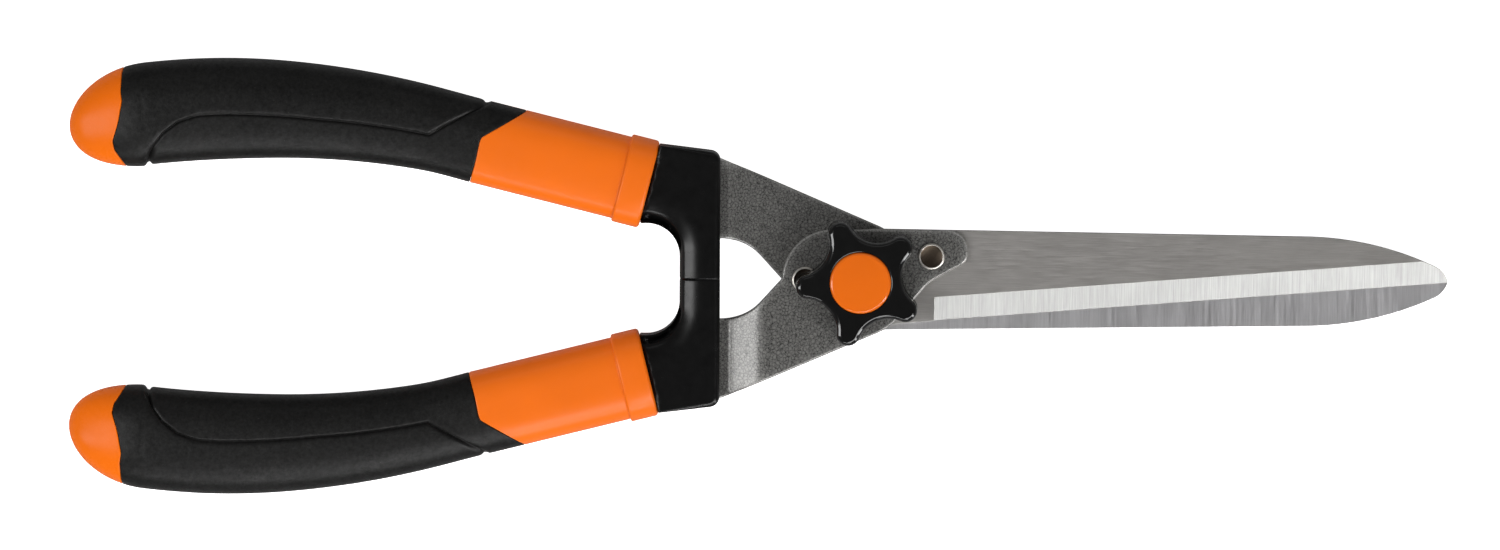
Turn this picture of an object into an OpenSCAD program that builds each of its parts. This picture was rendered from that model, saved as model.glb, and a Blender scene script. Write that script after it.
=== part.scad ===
// Hand grass shears: two alike halves cross on one bolt, and a star knob sets how hard the blades press.
// Millimetres. The origin is the middle of the bolt head's flat back. +X runs to the blade tips and +Z up
// to the knob. The rear half is the front half turned half round about the line along which they meet.

/* [Blades] */
// From the bolt's axis to the blade tips
blade_reach = 227; // [224:0.5:230]
// Thickness of each blade
blade_t = 3; // [2.6:0.1:3.4]
// Width of the ground bevel along the cutting edge
bevel_w = 9.1; // [7:0.1:11]
// Thickness left at the cutting edge
edge_t = 0.4; // [0.2:0.1:0.8]
// Gap between the two mating faces
blade_gap = 0.1; // [0.04:0.02:0.2]

/* [Arms] */
// Thickness of each arm's plate
arm_t = 3; // [2.6:0.1:3.2]
// Where the joggle starts, back from the bolt's axis
joggle_start = 39.4; // [38:0.1:41]
// Where the joggle ends, back from the bolt's axis
joggle_end = 50.6; // [48:0.1:51]
// Width of the tang inside the handle
tang_w = 18; // [16:0.5:19]
// Length of the tang inside the handle
tang_l = 70; // [50:1:74]

/* [Handles] */
// Angle between the straight part of each handle and the centre line
handle_angle = 14; // [13.5:0.1:14.5]
// Length of the handle's straight part
straight_l = 78.3; // [76:0.1:80]
// Radius of the handle's curved part
bend_r = 332; // [320:1:345]
// Half the width of the orange collar
collar_half_w = 16.2; // [15.8:0.1:16.8]
// Half the thickness of the orange collar
collar_half_t = 11; // [10.6:0.1:12]
// Half the width of the grip at its swell
swell_half_w = 20.05; // [19.5:0.05:20.6]
// Half the thickness of the grip at its swell
swell_half_t = 13.2; // [12.6:0.1:14]
// How far the finger panel lies below the palm pad
panel_step = 0.7; // [0.4:0.1:1]
// Thickness of the rubber over the core
rubber_t = 2.6; // [2.2:0.1:3]

/* [Bolsters] */
// Thickness of the bumper blocks
bolster_t = 17; // [16:0.1:17.5]
// Rounding of the bumper blocks' edges
bolster_round = 3.2; // [2:0.1:4]

/* [Pivot] */
// Radius of the bolt's shank
bolt_r = 4; // [3.8:0.05:4]
// Radius of the bolt's round head
bolt_head_r = 13; // [12:0.5:14]
// Thickness of the bolt's round head
bolt_head_t = 4.5; // [4:0.1:5]
// Radius of the knob across its lobes
knob_r = 24.5; // [24:0.1:25.5]
// Height of the knob
knob_h = 15; // [15:0.1:16]
// Radius of the orange cap in the knob
cap_r = 11.85; // [11.5:0.05:11.9]

/* [Hidden] */
$fn = 72;

// Levels of the stack. Every part is drawn from the plane where the blades meet, and raised into place
blade_z = blade_gap / 2;
arm_z = blade_z + blade_t;
arm_top = arm_z + arm_t;
run_gap = 0.05;
spring_z = arm_top + run_gap;
spring_h = 1.5;
washer_z = spring_z + spring_h + run_gap;
washer_h = 1.2;
knob_z = washer_z + washer_h;
nut_z = knob_z + 4;
nut_h = 6.5;
nut_af = 13;
bolt_top = nut_z + nut_h + 1;
cap_z = bolt_top + 0.7;

// Longer than anything it cuts is thick
through = 40;

// Radial play of the round holes on the bolt
bore_play = 0.05;
hole_r = bolt_r + bore_play;
washer_play = 0.08;

// Rivets: places, head, shank and countersunk tail
rivet_places = [[27.5, 9.3], [-21.2, 0]];
rivet_head_r = 5.1;
rivet_head_h = 1;
rivet_rim = 0.7;
rivet_dish = 0.45;
rivet_r = 3;
rivet_tail_r = 4.4;
rivet_play = 0.02;

// Colours
steel_colour = [0.56, 0.55, 0.53];
arm_colour = [0.38, 0.37, 0.36];
orange = [0.95, 0.45, 0.12];
rubber_colour = [0.14, 0.14, 0.13];
gloss_black = [0.05, 0.05, 0.05];
zinc = [0.72, 0.72, 0.7];

// ---- Outlines ----

function unit(v) = v / norm(v);

// Points of an arc from angle a to angle b
function arc(c, r, a, b, steps) = [for (k = [0 : steps]) c + r * [cos(a + (b - a) * k / steps),
                                                                  sin(a + (b - a) * k / steps)]];

// The rounded corner at c between the corners p and q, each given as [x, y, radius]
function corner_arc(p, c, q, steps) =
    let (here = [c.x, c.y], a = unit([p.x, p.y] - here), b = unit([q.x, q.y] - here))
    c.z == 0 ? [here] :
    let (
        half = acos(a * b) / 2,
        centre = here + unit(a + b) * c.z / sin(half),
        first = here + a * c.z / tan(half) - centre,
        last = here + b * c.z / tan(half) - centre,
        start = atan2(first.y, first.x),
        turn = atan2(first.x * last.y - first.y * last.x, first * last)
    )
    arc(centre, c.z, start, start + turn, steps);

// A closed outline from corners [x, y, radius]
function rounded(corners, steps = 8) =
    let (n = len(corners))
    [for (i = [0 : n - 1]) each corner_arc(corners[(i + n - 1) % n], corners[i], corners[(i + 1) % n], steps)];

// Corners of an anticlockwise outline drawn in by d, or out where d is negative; its arcs keep their centres
function drawn_in(corners, d) =
    let (n = len(corners))
    [
        for (i = [0 : n - 1])
            let (
                c = corners[i],
                p = corners[(i + n - 1) % n],
                q = corners[(i + 1) % n],
                a = unit([c.x - p.x, c.y - p.y]),
                b = unit([q.x - c.x, q.y - c.y]),
                shift = d / (1 + a * b) * [-a.y - b.y, a.x + b.x],
                turn = sign(a.x * b.y - a.y * b.x)
            )
            [c.x + shift.x, c.y + shift.y, c.z == 0 ? 0 : max(0.1, c.z - turn * d)]
    ];

// A solid through rings of equally many points, closed by a flat face at each end
module stack(rings) {
    n = len(rings);
    count = len(rings[0]);
    sides = [
        for (i = [0 : n - 2], j = [0 : count - 1])
            let (a = i * count + j, b = i * count + (j + 1) % count)
            [a, a + count, b + count, b]
    ];
    first_end = [for (j = [0 : count - 1]) j];
    last_end = [for (j = [count - 1 : -1 : 0]) (n - 1) * count + j];
    polyhedron([for (r = rings) each r], concat([first_end], sides, [last_end]), convexity = 4);
}

// ---- The handle's axis: s runs from its open end to the butt, v outwards across it ----

handle_start = [-81.3, -36.1];

function heading(s) = handle_angle - max(0, s - straight_l) / bend_r * 180 / PI;

function along(s) = [-cos(heading(s)), -sin(heading(s))];

function outwards(s) = [sin(heading(s)), -cos(heading(s))];

function axis_point(s) =
    let (a = heading(s), a0 = handle_angle)
    handle_start + min(s, straight_l) * along(0) + bend_r * [sin(a) - sin(a0), cos(a0) - cos(a)];

function on_axis(s, v) = axis_point(s) + v * outwards(s);

// A plan outline from corners [s, v, radius]
function handle_corners(list) = [for (c = list) let (p = on_axis(c.x, c.y)) [p.x, p.y, c.z]];

module in_handle(s) {
    p = axis_point(s);
    translate([p.x, p.y, 0]) rotate([0, 0, 180 + heading(s)]) children();
}

// A box inside the handle, w wide and t thick, from s0 to s1, square to the axis at s
module handle_box(s, s0, s1, w, t) {
    in_handle(s) translate([s0 - s, -w / 2, -t / 2]) cube([s1 - s0, w, t]);
}

// A prism through the handle's whole thickness
module handle_prism(outline) {
    linear_extrude(through, center = true) polygon([for (p = outline) on_axis(p.x, p.y)]);
}

// ---- The handle's skin ----

swell_start = 165;
nose_start = 196;
nose_l = 32;
nose_lean = 2.2;
skin_shift = 0.35;
squareness = 2.7;
around = 28;

function swell(s) = min(1, max(0, (s - straight_l) / (swell_start - straight_l)));

// Station [s, middle, half width, half thickness], drawn in by inset
function station(s, inset) =
    let (
        reach = max(0, s - nose_start) / (nose_l - inset),
        close = sqrt(max(0, 1 - reach * reach)),
        w = collar_half_w + (swell_half_w - collar_half_w) * swell(s) - inset,
        t = collar_half_t + (swell_half_t - collar_half_t) * swell(s) - inset
    )
    [s, -skin_shift * swell(s) - nose_lean * reach * reach, w * close, t * close];

function signed_power(x, p) = sign(x) * pow(abs(x), p);

function section(st) = [
    for (k = [0 : around - 1])
        let (t = 360 * (k + 0.5) / around, p = on_axis(st[0], st[1] + st[2] * signed_power(cos(t), 2 / squareness)))
        [p.x, p.y, st[3] * signed_power(sin(t), 2 / squareness)]
];

module loft(stations) {
    n = len(stations);
    sides = [
        for (i = [0 : n - 2], j = [0 : around - 1])
            let (a = i * around + j, b = i * around + (j + 1) % around, c = b + around, d = a + around)
            each [[a, d, c], [a, c, b]]
    ];
    first_end = [for (j = [0 : around - 1]) j];
    last_end = [for (j = [around - 1 : -1 : 0]) (n - 1) * around + j];
    polyhedron([for (st = stations) each section(st)], concat([first_end], sides, [last_end]), convexity = 4);
}

// The handle's skin from s0 to its butt, drawn in by inset
module skin(s0, inset) {
    body_steps = 14;
    nose_steps = 7;
    body = [for (k = [0 : body_steps]) s0 + (nose_start - s0) * k / body_steps];
    nose = [for (k = [1 : nose_steps]) nose_start + (nose_l - inset) * sin(84 * k / nose_steps)];
    loft([for (s = concat(body, nose)) station(s, inset)]);
}

// The skin of the core inside the grip, cut square a little further on than the core's end
module inner_skin(inset, further) {
    steps = 12;
    step = (core_end - core_start) / steps;
    loft([for (k = [0 : steps]) station(core_start + step * k + (k == steps ? further : 0), inset)]);
}

// ---- The lines between the handle's materials, as [s, v] from the inner side to the outer ----

far = 26;
collar_line = [[68, -far], [67.5, -7.6], [67.9, 2], [54, 15.4], [44, far]];
panel_line = [[200.5, -far], [199, -18.3], [192, -7.9], [185.3, -3.3], [177.7, -1.3], [130.6, -2.3],
              [87.5, -1.5], [82.8, 3.1], [70.5, 14.4], [60, far]];
butt_line = [[204.5, -far], [208.2, -19], [211.6, -12.1], [211.8, -8.5], [208.7, -2.2], [205.9, 6.5],
             [205.9, 10.5], [204.6, 17.3], [201, far]];

function shifted(line, d) = [for (p = line) [p.x + d, p.y]];

function backwards(line) = [for (i = [len(line) - 1 : -1 : 0]) line[i]];

seam = 0.05;
core_start = 40;
core_end = 203;
cap_skin_start = 188;
spigot_from = 172;
spigot_to = 214;
spigot_middle = 190;
spigot_w = 14;
spigot_t = 10;
spigot_play = 0.05;
tang_play = 0.05;
// Well clear of the grip's two ends
before_grip = 30;
past_butt = 240;

ring_l = 11;
ring_half_w = 17.3;
ring_half_t = 12;
ring_round = 0.8;
ring_start = 0.3;

// ---- Sub-parts of one half, drawn for the front half ----

heel = [-10.7, 0];
heel_r = 19.4;

edge_angle = 4.47;
edge_foot = [28.6, -15.8];
back_slope = 0.77;
back_end = [blade_reach - 54.7, 17.4];
nose_r = 122;
nose_turn = 24.9;
tip_r = 9;
tip_turn = 78;

module blade_outline() {
    nose_c = back_end - nose_r * [sin(back_slope), cos(back_slope)];
    tip_c = nose_c + (nose_r - tip_r) * [sin(nose_turn), cos(nose_turn)];
    edge_drop = (edge_foot.x - heel.x) * sin(edge_angle) - edge_foot.y * cos(edge_angle);
    polygon(concat(
        [[heel.x + heel_r, back_end.y + (back_end.x - heel.x - heel_r) * tan(back_slope)]],
        arc(nose_c, nose_r, 90 - back_slope, 90 - nose_turn, 14),
        arc(tip_c, tip_r, 90 - nose_turn, 90 - tip_turn, 8),
        arc(heel, edge_drop, 270 + edge_angle, 90, 30)
    ));
}

module bevel_cut() {
    slope_w = bevel_w + 4;
    rise = (blade_t - edge_t) / bevel_w;
    intersection() {
        translate([edge_foot.x, edge_foot.y, blade_z]) rotate([0, 0, edge_angle]) rotate([90, 0, 90])
            translate([0, 0, -10]) linear_extrude(blade_reach)
            polygon([[-4, edge_t - 4 * rise], [slope_w, edge_t + slope_w * rise], [slope_w, 8], [-4, 8]]);
        translate([edge_foot.x, -40, -1]) cube([blade_reach, 80, 20]);
    }
}

module rivet_holes() {
    for (p = rivet_places) {
        translate([p.x, p.y, 0]) cylinder(r = rivet_r + rivet_play, h = through, center = true);
        translate([p.x, p.y, blade_z]) countersink(rivet_play);
    }
}

module countersink(play) {
    depth = rivet_tail_r - rivet_r;
    rotate_extrude() polygon([[0, 0], [rivet_tail_r + play, 0], [rivet_r + play, depth], [0, depth]]);
}

module round_hole() {
    cylinder(r = hole_r, h = through, center = true);
}

module square_hole() {
    cube([2 * hole_r, 2 * hole_r, through], center = true);
}

module blade() {
    color(steel_colour) difference() {
        translate([0, 0, blade_z]) linear_extrude(blade_t) blade_outline();
        bevel_cut();
        rivet_holes();
        children();
    }
}

tang_shoulder = -16;
barb = 0.6;
arm_foot = [[-55, -46.2, 1], [-54.1, -46.6, 0]];
arm_lower = [11.4, -18.5, 21];
crotch = [-44.7, -15.5, 20.9];
arm_inner = [-60, -15.5, 1];

module arm_outline() {
    barb_places = [25, 40, 55];
    half = tang_w / 2;
    inner_barbs = [for (s = barb_places) each [[s - 4, -half, 0], [s, -half - barb, 0], [s + 0.4, -half, 0]]];
    outer_barbs = [for (i = [2 : -1 : 0]) let (s = barb_places[i])
                   each [[s + 0.4, half, 0], [s, half + barb, 0], [s - 4, half, 0]]];
    head = concat(arm_foot, [arm_lower, [26.5, -0.8, 15], [41.5, 7.4, 5], [41.5, heel_r, 8]]);
    tang = concat([[tang_shoulder, -half, 1]], inner_barbs, [[tang_l, -half, 2], [tang_l, half, 2]],
                  outer_barbs, [[tang_shoulder, half, 1]]);
    heel_arc = [for (p = arc(heel, heel_r, 90, 177, 20)) [p.x, p.y, 0]];
    inner_edge = [[-30.6, 0, 0], crotch, arm_inner];
    polygon(rounded(concat(head, heel_arc, inner_edge, handle_corners(tang))));
}

module arm_side() {
    low = -arm_t / 2;
    drop = arm_z - low;
    rise = arm_t;
    far_end = 400;
    polygon([[-far_end, low], [-joggle_end, low], [-joggle_start, low + drop], [60, low + drop],
             [60, low + drop + rise], [-joggle_start, low + drop + rise], [-joggle_end, low + rise],
             [-far_end, low + rise]]);
}

module arm() {
    color(arm_colour) difference() {
        intersection() {
            translate([0, 0, -arm_t]) linear_extrude(arm_top + 2 * arm_t) arm_outline();
            rotate([90, 0, 0]) translate([0, 0, -60]) linear_extrude(120) arm_side();
        }
        rivet_holes();
        children();
    }
}

module rivet() {
    dish_r = rivet_head_r - rivet_rim;
    top = arm_top + rivet_head_h;
    rotate_extrude() polygon(concat(
        [[0, blade_z], [rivet_tail_r, blade_z], [rivet_r, blade_z + rivet_tail_r - rivet_r],
         [rivet_r, arm_top], [rivet_head_r, arm_top], [rivet_head_r, top - 0.3], [rivet_head_r - 0.3, top]],
        [for (k = [0 : 6]) let (r = dish_r * (1 - k / 6)) [r, top - rivet_dish * (1 - pow(r / dish_r, 2))]]
    ));
}

module rivets() {
    color(zinc) for (p = rivet_places) translate([p.x, p.y, 0]) rivet();
}

stem_gap = 0.15;
stem_left = -69.7;
stem_right = -54.1;
block_end = -0.1;
stub_start = -2.4;
stub_l = 18;
stub_w = 28;
stub_t = bolster_t - 2;
stub_play = 0.05;

// The edges are rounded in steps: each ring of points is the outline, drawn in a little further
module bolster_block() {
    steps = 4;
    flat_t = bolster_t - 2 * bolster_round;
    // Starts at the corner that sees every other, which the flat faces need
    corners = concat(
        [[stem_right, -48.9, 4], [stem_right, -stem_gap, 1], [stem_left, -stem_gap, 1], [stem_left, -22, 12.7]],
        handle_corners([[block_end, -14.4, 1.5], [block_end, 16, 2.5]])
    );
    turns = [for (k = [-steps : steps]) 90 * k / steps];
    rings = concat(
        [for (a = turns) if (a <= 0) [bolster_round * (1 - cos(a)), bolster_round * sin(a) - flat_t / 2]],
        [for (a = turns) if (a >= 0) [bolster_round * (1 - cos(a)), bolster_round * sin(a) + flat_t / 2]]
    );
    stack([for (r = rings) [for (p = rounded(drawn_in(corners, r[0]), 5)) [p.x, p.y, r[1]]]]);
}

// The slot that the arm leaves the block by
module arm_slot() {
    half = tang_w / 2;
    tang = [[tang_shoulder, -half, 1], [stub_l, -half, 0], [stub_l, half, 0], [tang_shoulder, half, 1]];
    outside = [[arm_lower.x, arm_lower.y, 0], [arm_lower.x, crotch.y, 0]];
    outline = concat(arm_foot, outside, [arm_inner], handle_corners(tang));
    linear_extrude(arm_t + 2 * seam, center = true) polygon(rounded(drawn_in(outline, -seam)));
}

module bolster() {
    color(gloss_black) difference() {
        union() {
            bolster_block();
            handle_box(0, stub_start, stub_l, stub_w, stub_t);
        }
        arm_slot();
    }
}

module ring() {
    last = ring_start + ring_l;
    loft([for (r = [[ring_start, ring_round], [ring_start + ring_round, 0], [last - ring_round, 0],
                    [last, ring_round]])
          [r[0], 0, ring_half_w - r[1], ring_half_t - r[1]]]);
}

module core() {
    color(orange) difference() {
        union() {
            ring();
            intersection() {
                skin(ring_start + 3, 0);
                handle_prism(concat([[0, far], [0, -far]], collar_line));
            }
            inner_skin(rubber_t, 0);
        }
        handle_box(0, -1, tang_l + 1, tang_w + 2 * (barb + tang_play), arm_t + 2 * tang_play);
        handle_box(0, -1, stub_l + 2 * stub_play, stub_w + 2 * stub_play, stub_t + 2 * stub_play);
        handle_box(spigot_middle, spigot_from - 1, spigot_to, spigot_w + 2 * spigot_play,
                   spigot_t + 2 * spigot_play);
    }
}

module grip() {
    color(rubber_colour) difference() {
        intersection() {
            skin(core_start, 0);
            handle_prism(concat(shifted(collar_line, seam), backwards(shifted(butt_line, -seam))));
        }
        difference() {
            handle_prism(concat([[before_grip, far], [before_grip, -far]], panel_line));
            skin(core_start - 2, panel_step);
        }
        inner_skin(rubber_t - seam, seam);
        handle_box(spigot_middle, spigot_from, spigot_to + 4, spigot_w + 2 * spigot_play,
                   spigot_t + 2 * spigot_play);
    }
}

module end_cap() {
    color(orange) {
        intersection() {
            skin(cap_skin_start, 0);
            handle_prism(concat(shifted(butt_line, seam), [[past_butt, far], [past_butt, -far]]));
        }
        handle_box(spigot_middle, spigot_from, spigot_to, spigot_w, spigot_t);
    }
}

meet_z = arm_top + bolt_head_t;

module raised() {
    translate([0, 0, meet_z]) children();
}

module rear() {
    raised() rotate([180, 0, 0]) children();
}

// ---- The pivot's own parts ----

module pivot_bolt() {
    pitch = 1.25;
    depth = 0.5;
    plain_top = nut_z - 1;
    turns = floor((bolt_top - 1 - plain_top) / pitch);
    head_z = -arm_top;
    head_round = 1.2;
    thread = [for (k = [0 : turns - 1]) let (z = plain_top + k * pitch)
              each [[bolt_r, z], [bolt_r, z + 0.45 * pitch], [bolt_r - depth, z + 0.65 * pitch],
                    [bolt_r - depth, z + 0.8 * pitch]]];
    color(zinc) {
        rotate_extrude() polygon(concat(
            [[0, head_z - bolt_head_t]],
            [[bolt_head_r - head_round, head_z - bolt_head_t], [bolt_head_r, head_z - bolt_head_t + head_round],
             [bolt_head_r, head_z - 0.4], [bolt_head_r - 0.4, head_z], [bolt_r, head_z]],
            thread,
            [[bolt_r, bolt_top - 0.8], [bolt_r - 0.8, bolt_top], [0, bolt_top]]
        ));
        translate([-bolt_r, -bolt_r, head_z - 1]) cube([2 * bolt_r, 2 * bolt_r, arm_top - blade_z + 1]);
    }
}

module spring_washer() {
    inner_r = 4.3;
    outer_r = 10;
    plate = 0.9;
    color(steel_colour) translate([0, 0, spring_z]) rotate_extrude()
        polygon([[inner_r, spring_h - plate], [outer_r - 0.3, 0], [outer_r, 0.3], [outer_r, plate],
                 [inner_r + 0.3, spring_h], [inner_r, spring_h - 0.2]]);
}

module flat_washer() {
    color(zinc) translate([0, 0, washer_z]) difference() {
        cylinder(r = 12, h = washer_h);
        translate([0, 0, -1]) cylinder(r = bolt_r + washer_play, h = washer_h + 2);
    }
}

lobes = 5;
lobe_first = 40.8;
lobe_r = 4.2;
waist_r = 15.7;
cap_recess = 3;

// The star: each lobe's end is an arc, and a hollow arc meets it smoothly on both sides
module star_outline(grow) {
    lobe_at = knob_r - lobe_r;
    half = 180 / lobes;
    // The hollow's centre lies at radius h with h - r = waist and its arc touches the lobe's arc
    h = (lobe_at * lobe_at - pow(lobe_r - waist_r, 2)) / (2 * (lobe_at * cos(half) + lobe_r - waist_r));
    hollow_r = h - waist_r;
    lobe_c = [lobe_at, 0];
    hollow_c = h * [cos(half), sin(half)];
    touch = atan2(hollow_c.y - lobe_c.y, hollow_c.x - lobe_c.x);
    back = touch + 180;
    turn = 2 * (180 + half - back);
    polygon([
        for (k = [0 : lobes - 1])
            let (
                spin = lobe_first + k * 2 * half,
                points = concat(arc(lobe_c, lobe_r + grow, -touch, touch, 12),
                                arc(hollow_c, hollow_r - grow, back, back + turn, 14))
            )
            each [for (p = points) [p.x * cos(spin) - p.y * sin(spin), p.x * sin(spin) + p.y * cos(spin)]]
    ]);
}

module knob() {
    top = knob_z + knob_h;
    fillet = 2.5;
    lip_h = 1.2;
    lip = 0.6;
    color(gloss_black) difference() {
        union() {
            intersection() {
                translate([0, 0, knob_z]) linear_extrude(knob_h) star_outline(0);
                rotate_extrude() polygon(concat(
                    [[0, knob_z], [knob_r + 1, knob_z], [knob_r + 1, top - fillet - 1]],
                    arc([knob_r - fillet, top - fillet], fillet + 0.01, 0, 90, 6),
                    [[0, top + 0.01]]
                ));
            }
            translate([0, 0, knob_z]) linear_extrude(lip_h) star_outline(lip);
        }
        translate([0, 0, knob_z - 1]) cylinder(r = bolt_r + washer_play, h = knob_h);
        translate([0, 0, nut_z]) cylinder(r = (nut_af + 0.1) / 2 / cos(30), h = knob_h, $fn = 6);
        translate([0, 0, top - cap_recess]) cylinder(r = cap_r + seam, h = cap_recess + 1);
    }
}

module knob_nut() {
    color(zinc) difference() {
        intersection() {
            translate([0, 0, nut_z]) cylinder(r = nut_af / 2 / cos(30), h = nut_h, $fn = 6);
            translate([0, 0, nut_z - 0.5]) cylinder(r = nut_af / 2 + 0.7, h = nut_h + 1);
        }
        translate([0, 0, nut_z - 1]) cylinder(r = hole_r, h = nut_h + 2);
    }
}

module knob_cap() {
    base = knob_z + knob_h - cap_recess;
    rim_top = knob_z + knob_h + 0.6;
    dome = 0.6;
    round_r = 1.2;
    plug_r = 5.2;
    color(orange) rotate_extrude() polygon(concat(
        [[0, cap_z], [plug_r, cap_z], [plug_r, base], [cap_r, base]],
        arc([cap_r - round_r, rim_top - round_r], round_r, 0, 80, 5),
        [for (k = [1 : 6]) let (r = (cap_r - round_r) * (1 - k / 6))
         [r, rim_top + dome * (1 - pow(r / (cap_r - round_r), 2))]]
    ));
}

raised() blade() round_hole();  // front_blade
raised() arm() round_hole();  // front_arm
raised() rivets();  // front_rivets
raised() bolster();  // front_bolster
raised() core();  // front_core
raised() grip();  // front_grip
raised() end_cap();  // front_end_cap
rear() blade() square_hole();  // rear_blade
rear() arm() square_hole();  // rear_arm
rear() rivets();  // rear_rivets
rear() bolster();  // rear_bolster
rear() core();  // rear_core
rear() grip();  // rear_grip
rear() end_cap();  // rear_end_cap
raised() pivot_bolt();
raised() spring_washer();
raised() flat_washer();
raised() knob();
raised() knob_nut();
raised() knob_cap();
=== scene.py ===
"""Looks for the grass shears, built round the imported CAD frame.

Plan sizes are in millimetres. Each half is drawn as the front half lies, with z measured from the plane
where the blades meet, and to_frame() carries its points into the CAD's frame, in metres.
"""

import math

import bmesh
import bpy
import numpy as np
from mathutils import Matrix, Vector
from mathutils.geometry import delaunay_2d_cdt


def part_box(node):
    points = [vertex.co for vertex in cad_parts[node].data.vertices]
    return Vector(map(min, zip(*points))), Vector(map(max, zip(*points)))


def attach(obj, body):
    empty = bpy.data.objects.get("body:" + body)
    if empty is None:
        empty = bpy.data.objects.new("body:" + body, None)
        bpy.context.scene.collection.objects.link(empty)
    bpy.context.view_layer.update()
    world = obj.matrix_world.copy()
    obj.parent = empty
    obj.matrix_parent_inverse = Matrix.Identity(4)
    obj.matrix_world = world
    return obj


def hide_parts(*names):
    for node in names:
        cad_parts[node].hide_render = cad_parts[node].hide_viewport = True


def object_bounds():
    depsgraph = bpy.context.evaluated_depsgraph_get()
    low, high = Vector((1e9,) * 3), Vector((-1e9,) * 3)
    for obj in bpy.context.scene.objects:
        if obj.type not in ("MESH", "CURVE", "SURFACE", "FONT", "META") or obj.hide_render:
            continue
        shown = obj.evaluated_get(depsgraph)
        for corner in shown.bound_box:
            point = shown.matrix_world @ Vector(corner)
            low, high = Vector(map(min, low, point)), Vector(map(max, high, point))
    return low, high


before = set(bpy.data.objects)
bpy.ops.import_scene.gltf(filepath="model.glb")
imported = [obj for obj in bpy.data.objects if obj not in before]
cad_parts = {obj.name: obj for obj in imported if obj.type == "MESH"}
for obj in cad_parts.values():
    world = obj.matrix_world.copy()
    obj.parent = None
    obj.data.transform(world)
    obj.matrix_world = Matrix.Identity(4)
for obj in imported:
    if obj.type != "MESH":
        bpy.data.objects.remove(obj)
cad_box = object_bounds()

MM = 0.001
MEET = (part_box("front_blade")[0].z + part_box("rear_blade")[1].z) / 2


def top(node):
    """Height of a CAD node's top above the plane where the blades meet, in millimetres."""
    return (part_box(node)[1].z - MEET) / MM


def base(node):
    """Height of a CAD node's underside above the plane where the blades meet, in millimetres."""
    return (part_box(node)[0].z - MEET) / MM


# ---- Heights and reaches that the frame gives, in millimetres ----

BLADE_LOW, BLADE_TOP = base("front_blade"), top("front_blade")
ARM_TOP = top("front_arm")
PLATE = ARM_TOP - BLADE_TOP
TIP_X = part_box("front_blade")[1].x / MM
KNOB_LOW, KNOB_TOP = base("knob"), top("knob")
CAP_TOP = top("knob_cap")

# ---- Sizes, in millimetres and degrees ----

# The cutting edge: where it starts beside the heel, how it leans to the blade, and how thick it is left
EDGE_FOOT = (28.6, -15.8)
EDGE_ANGLE = 4.47
EDGE_T = 0.4
# Width of the ground bevel along the edge
BEVEL_W = 9.1

# Middle and radius of the arm's round heel
HEEL_X = -10.7
HEEL_R = 19.4
# The joggle's two bends: x of each corner, and how far its rounding reaches to both sides
SOFT_BEND, SOFT_REACH = -39.4, 4.2
SHARP_BEND, SHARP_REACH = -50.6, 0.9

# The handle's axis: its open end, its lean, its straight length, and the radius that it bends at after that
HANDLE_START = Vector((-81.3, -36.1))
HANDLE_ANGLE = math.radians(14)
STRAIGHT = 78.3
BEND_R = 332.0
# Half width and half thickness of the handle at the collar and where it has swollen to its fullest
COLLAR_W, COLLAR_T = 16.2, 11.0
SWELL_W, SWELL_T = 20.0, 13.1
# s of the fullest section, and the roundings of the swelling's start and end
FULLEST, SWELL_IN, SWELL_OUT = 165.0, 8.0, 20.0
# How far the fullest section sits towards the other handle
SKIN_SHIFT = 0.35
# Exponent of the sections' rounded oblong: 2 would be an ellipse
SQUARENESS = 2.7
# The butt's nose: where it starts, its length, and how far its tip leans towards the other handle
NOSE_START, NOSE_L, NOSE_LEAN = 196.0, 32.0, 2.2
# Depth of the finger panel below the palm pad
PANEL_STEP = 0.55
# Each piece of the handle stops this far short of the line that it shares with the next
SEAM = 0.04

# The two sides of the bolster's stem
STEM_LEFT, STEM_RIGHT = -69.7, -54.1

# Places of the rivets, radius of their heads, and width of the rim round a head's dish
RIVETS = ((27.5, 9.3), (HEEL_X - 10.5, 0.0))
RIVET_R = 5.1
RIVET_RIM = 0.9

# The bolt's shank, its thread's pitch, and the holes that turn on it
SHANK_R = 4.0
PITCH = 1.25
HOLE_R = SHANK_R + 0.08


# ---- Plane figures ----


def arc(cx, cy, r, a, b, steps):
    """Points of an arc from angle a to angle b, in degrees."""
    angles = [math.radians(a + (b - a) * k / steps) for k in range(steps + 1)]
    return [(cx + r * math.cos(t), cy + r * math.sin(t)) for t in angles]


def rounded(corners, steps=10):
    """A closed outline from corners (x, y, radius)."""
    points = []
    for i, (x, y, r) in enumerate(corners):
        here = Vector((x, y))
        a = (Vector(corners[i - 1][:2]) - here).normalized()
        b = (Vector(corners[(i + 1) % len(corners)][:2]) - here).normalized()
        if r == 0:
            points.append((x, y))
            continue
        half = math.acos(a.dot(b)) / 2
        centre = here + (a + b).normalized() * r / math.sin(half)
        first = here + a * r / math.tan(half) - centre
        last = here + b * r / math.tan(half) - centre
        start = math.degrees(math.atan2(first.y, first.x))
        turn = math.degrees(math.atan2(first.x * last.y - first.y * last.x, first.dot(last)))
        points += arc(centre.x, centre.y, r, start, start + turn, steps)
    return points


def anticlockwise(outline):
    """The outline as an array without repeated points, running anticlockwise."""
    p = np.array(outline, float)
    p = p[np.linalg.norm(p - np.roll(p, 1, axis=0), axis=1) > 1e-4]
    q = np.roll(p, -1, axis=0)
    area = np.sum(p[:, 0] * q[:, 1] - q[:, 0] * p[:, 1])
    return p if area > 0 else p[::-1]


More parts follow.
